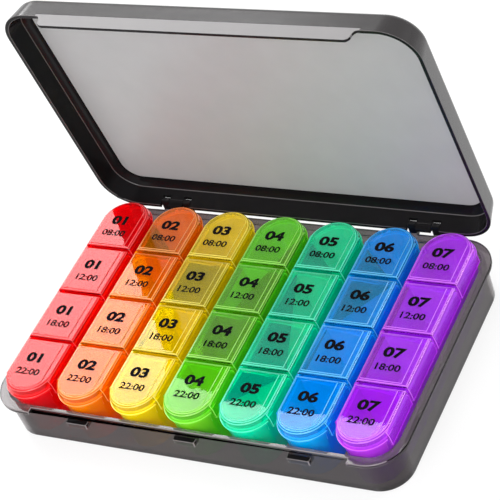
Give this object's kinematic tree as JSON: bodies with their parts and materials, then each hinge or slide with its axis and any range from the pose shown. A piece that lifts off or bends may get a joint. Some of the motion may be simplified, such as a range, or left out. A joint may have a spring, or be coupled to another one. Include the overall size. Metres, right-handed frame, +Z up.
{
  "type": "weekly pill box",
  "caption": "Flat translucent dark case with a hinged lid, holding rainbow-coloured day strips of compartments, each with its own small hinged lid.",
  "frame": {"origin": "centre of the case tray's flat underside", "axes": "+X along the week from the first day's strip to the last, +Y towards the case hinge, +Z up"},
  "size_m": [0.22, 0.1516, 0.1679],
  "materials": {
    "case_tray": "gloss, translucent smoke grey",
    "case_lid": "gloss, translucent smoke grey",
    "pin_steel": "drawn steel wire",
    "day_1": "gloss, translucent",
    "day_2": "gloss, translucent",
    "day_3": "gloss, translucent",
    "day_4": "gloss, translucent",
    "day_5": "gloss, translucent",
    "day_6": "gloss, translucent",
    "day_7": "gloss, translucent"
  },
  "bodies": {
    "tray": {"case_tray": "case_tray", "case_hinge_pin_left": "pin_steel", "case_hinge_pin_right": "pin_steel"},
    "case_lid": {"case_lid": "case_lid"},
    "strip_1": {"day_strip_1": "day_1"},
    "lid_1_morning": {"lid_1_morning": "day_1"},
    "lid_1_noon": {"lid_1_noon": "day_1"},
    "lid_1_evening": {"lid_1_evening": "day_1"},
    "lid_1_night": {"lid_1_night": "day_1"},
    "strip_2": {"day_strip_2": "day_2"},
    "lid_2_morning": {"lid_2_morning": "day_2"},
    "lid_2_noon": {"lid_2_noon": "day_2"},
    "lid_2_evening": {"lid_2_evening": "day_2"},
    "lid_2_night": {"lid_2_night": "day_2"},
    "strip_3": {"day_strip_3": "day_3"},
    "lid_3_morning": {"lid_3_morning": "day_3"},
    "lid_3_noon": {"lid_3_noon": "day_3"},
    "lid_3_evening": {"lid_3_evening": "day_3"},
    "lid_3_night": {"lid_3_night": "day_3"},
    "strip_4": {"day_strip_4": "day_4"},
    "lid_4_morning": {"lid_4_morning": "day_4"},
    "lid_4_noon": {"lid_4_noon": "day_4"},
    "lid_4_evening": {"lid_4_evening": "day_4"},
    "lid_4_night": {"lid_4_night": "day_4"},
    "strip_5": {"day_strip_5": "day_5"},
    "lid_5_morning": {"lid_5_morning": "day_5"},
    "lid_5_noon": {"lid_5_noon": "day_5"},
    "lid_5_evening": {"lid_5_evening": "day_5"},
    "lid_5_night": {"lid_5_night": "day_5"},
    "strip_6": {"day_strip_6": "day_6"},
    "lid_6_morning": {"lid_6_morning": "day_6"},
    "lid_6_noon": {"lid_6_noon": "day_6"},
    "lid_6_evening": {"lid_6_evening": "day_6"},
    "lid_6_night": {"lid_6_night": "day_6"},
    "strip_7": {"day_strip_7": "day_7"},
    "lid_7_morning": {"lid_7_morning": "day_7"},
    "lid_7_noon": {"lid_7_noon": "day_7"},
    "lid_7_evening": {"lid_7_evening": "day_7"},
    "lid_7_night": {"lid_7_night": "day_7"}
  },
  "joints": [
    {"name": "case_lid_hinge", "type": "hinge", "parent": "tray", "child": "case_lid", "pos_m": [0, 0.07201, 0.0263], "axis": [1, 0, 0], "range_deg": [-15, 83.1]},
    {"name": "strip_1_lift", "type": "slide", "parent": "tray", "child": "strip_1", "axis": [0, 0, 1], "range_m": [0, 0.06]},
    {"name": "lid_1_morning_hinge", "type": "hinge", "parent": "strip_1", "child": "lid_1_morning", "pos_m": [-0.1024, 0, 0.0302], "axis": [0, -1, 0], "range_deg": [0, 103]},
    {"name": "lid_1_noon_hinge", "type": "hinge", "parent": "strip_1", "child": "lid_1_noon", "pos_m": [-0.1024, 0, 0.0302], "axis": [0, -1, 0], "range_deg": [0, 103]},
    {"name": "lid_1_evening_hinge", "type": "hinge", "parent": "strip_1", "child": "lid_1_evening", "pos_m": [-0.1024, 0, 0.0302], "axis": [0, -1, 0], "range_deg": [0, 103]},
    {"name": "lid_1_night_hinge", "type": "hinge", "parent": "strip_1", "child": "lid_1_night", "pos_m": [-0.1024, 0, 0.0302], "axis": [0, -1, 0], "range_deg": [0, 103]},
    {"name": "strip_2_lift", "type": "slide", "parent": "tray", "child": "strip_2", "axis": [0, 0, 1], "range_m": [0, 0.06]},
    {"name": "lid_2_morning_hinge", "type": "hinge", "parent": "strip_2", "child": "lid_2_morning", "pos_m": [-0.0724, 0, 0.0302], "axis": [0, -1, 0], "range_deg": [0, 103]},
    {"name": "lid_2_noon_hinge", "type": "hinge", "parent": "strip_2", "child": "lid_2_noon", "pos_m": [-0.0724, 0, 0.0302], "axis": [0, -1, 0], "range_deg": [0, 103]},
    {"name": "lid_2_evening_hinge", "type": "hinge", "parent": "strip_2", "child": "lid_2_evening", "pos_m": [-0.0724, 0, 0.0302], "axis": [0, -1, 0], "range_deg": [0, 103]},
    {"name": "lid_2_night_hinge", "type": "hinge", "parent": "strip_2", "child": "lid_2_night", "pos_m": [-0.0724, 0, 0.0302], "axis": [0, -1, 0], "range_deg": [0, 103]},
    {"name": "strip_3_lift", "type": "slide", "parent": "tray", "child": "strip_3", "axis": [0, 0, 1], "range_m": [0, 0.06]},
    {"name": "lid_3_morning_hinge", "type": "hinge", "parent": "strip_3", "child": "lid_3_morning", "pos_m": [-0.0424, 0, 0.0302], "axis": [0, -1, 0], "range_deg": [0, 103]},
    {"name": "lid_3_noon_hinge", "type": "hinge", "parent": "strip_3", "child": "lid_3_noon", "pos_m": [-0.0424, 0, 0.0302], "axis": [0, -1, 0], "range_deg": [0, 103]},
    {"name": "lid_3_evening_hinge", "type": "hinge", "parent": "strip_3", "child": "lid_3_evening", "pos_m": [-0.0424, 0, 0.0302], "axis": [0, -1, 0], "range_deg": [0, 103]},
    {"name": "lid_3_night_hinge", "type": "hinge", "parent": "strip_3", "child": "lid_3_night", "pos_m": [-0.0424, 0, 0.0302], "axis": [0, -1, 0], "range_deg": [0, 103]},
    {"name": "strip_4_lift", "type": "slide", "parent": "tray", "child": "strip_4", "axis": [0, 0, 1], "range_m": [0, 0.06]},
    {"name": "lid_4_morning_hinge", "type": "hinge", "parent": "strip_4", "child": "lid_4_morning", "pos_m": [-0.0124, 0, 0.0302], "axis": [0, -1, 0], "range_deg": [0, 103]},
    {"name": "lid_4_noon_hinge", "type": "hinge", "parent": "strip_4", "child": "lid_4_noon", "pos_m": [-0.0124, 0, 0.0302], "axis": [0, -1, 0], "range_deg": [0, 103]},
    {"name": "lid_4_evening_hinge", "type": "hinge", "parent": "strip_4", "child": "lid_4_evening", "pos_m": [-0.0124, 0, 0.0302], "axis": [0, -1, 0], "range_deg": [0, 103]},
    {"name": "lid_4_night_hinge", "type": "hinge", "parent": "strip_4", "child": "lid_4_night", "pos_m": [-0.0124, 0, 0.0302], "axis": [0, -1, 0], "range_deg": [0, 103]},
    {"name": "strip_5_lift", "type": "slide", "parent": "tray", "child": "strip_5", "axis": [0, 0, 1], "range_m": [0, 0.06]},
    {"name": "lid_5_morning_hinge", "type": "hinge", "parent": "strip_5", "child": "lid_5_morning", "pos_m": [0.0176, 0, 0.0302], "axis": [0, -1, 0], "range_deg": [0, 103]},
    {"name": "lid_5_noon_hinge", "type": "hinge", "parent": "strip_5", "child": "lid_5_noon", "pos_m": [0.0176, 0, 0.0302], "axis": [0, -1, 0], "range_deg": [0, 103]},
    {"name": "lid_5_evening_hinge", "type": "hinge", "parent": "strip_5", "child": "lid_5_evening", "pos_m": [0.0176, 0, 0.0302], "axis": [0, -1, 0], "range_deg": [0, 103]},
    {"name": "lid_5_night_hinge", "type": "hinge", "parent": "strip_5", "child": "lid_5_night", "pos_m": [0.0176, 0, 0.0302], "axis": [0, -1, 0], "range_deg": [0, 103]},
    {"name": "strip_6_lift", "type": "slide", "parent": "tray", "child": "strip_6", "axis": [0, 0, 1], "range_m": [0, 0.06]},
    {"name": "lid_6_morning_hinge", "type": "hinge", "parent": "strip_6", "child": "lid_6_morning", "pos_m": [0.0476, 0, 0.0302], "axis": [0, -1, 0], "range_deg": [0, 103]},
    {"name": "lid_6_noon_hinge", "type": "hinge", "parent": "strip_6", "child": "lid_6_noon", "pos_m": [0.0476, 0, 0.0302], "axis": [0, -1, 0], "range_deg": [0, 103]},
    {"name": "lid_6_evening_hinge", "type": "hinge", "parent": "strip_6", "child": "lid_6_evening", "pos_m": [0.0476, 0, 0.0302], "axis": [0, -1, 0], "range_deg": [0, 103]},
    {"name": "lid_6_night_hinge", "type": "hinge", "parent": "strip_6", "child": "lid_6_night", "pos_m": [0.0476, 0, 0.0302], "axis": [0, -1, 0], "range_deg": [0, 103]},
    {"name": "strip_7_lift", "type": "slide", "parent": "tray", "child": "strip_7", "axis": [0, 0, 1], "range_m": [0, 0.06]},
    {"name": "lid_7_morning_hinge", "type": "hinge", "parent": "strip_7", "child": "lid_7_morning", "pos_m": [0.0776, 0, 0.0302], "axis": [0, -1, 0], "range_deg": [0, 103]},
    {"name": "lid_7_noon_hinge", "type": "hinge", "parent": "strip_7", "child": "lid_7_noon", "pos_m": [0.0776, 0, 0.0302], "axis": [0, -1, 0], "range_deg": [0, 103]},
    {"name": "lid_7_evening_hinge", "type": "hinge", "parent": "strip_7", "child": "lid_7_evening", "pos_m": [0.0776, 0, 0.0302], "axis": [0, -1, 0], "range_deg": [0, 103]},
    {"name": "lid_7_night_hinge", "type": "hinge", "parent": "strip_7", "child": "lid_7_night", "pos_m": [0.0776, 0, 0.0302], "axis": [0, -1, 0], "range_deg": [0, 103]}
  ]
}
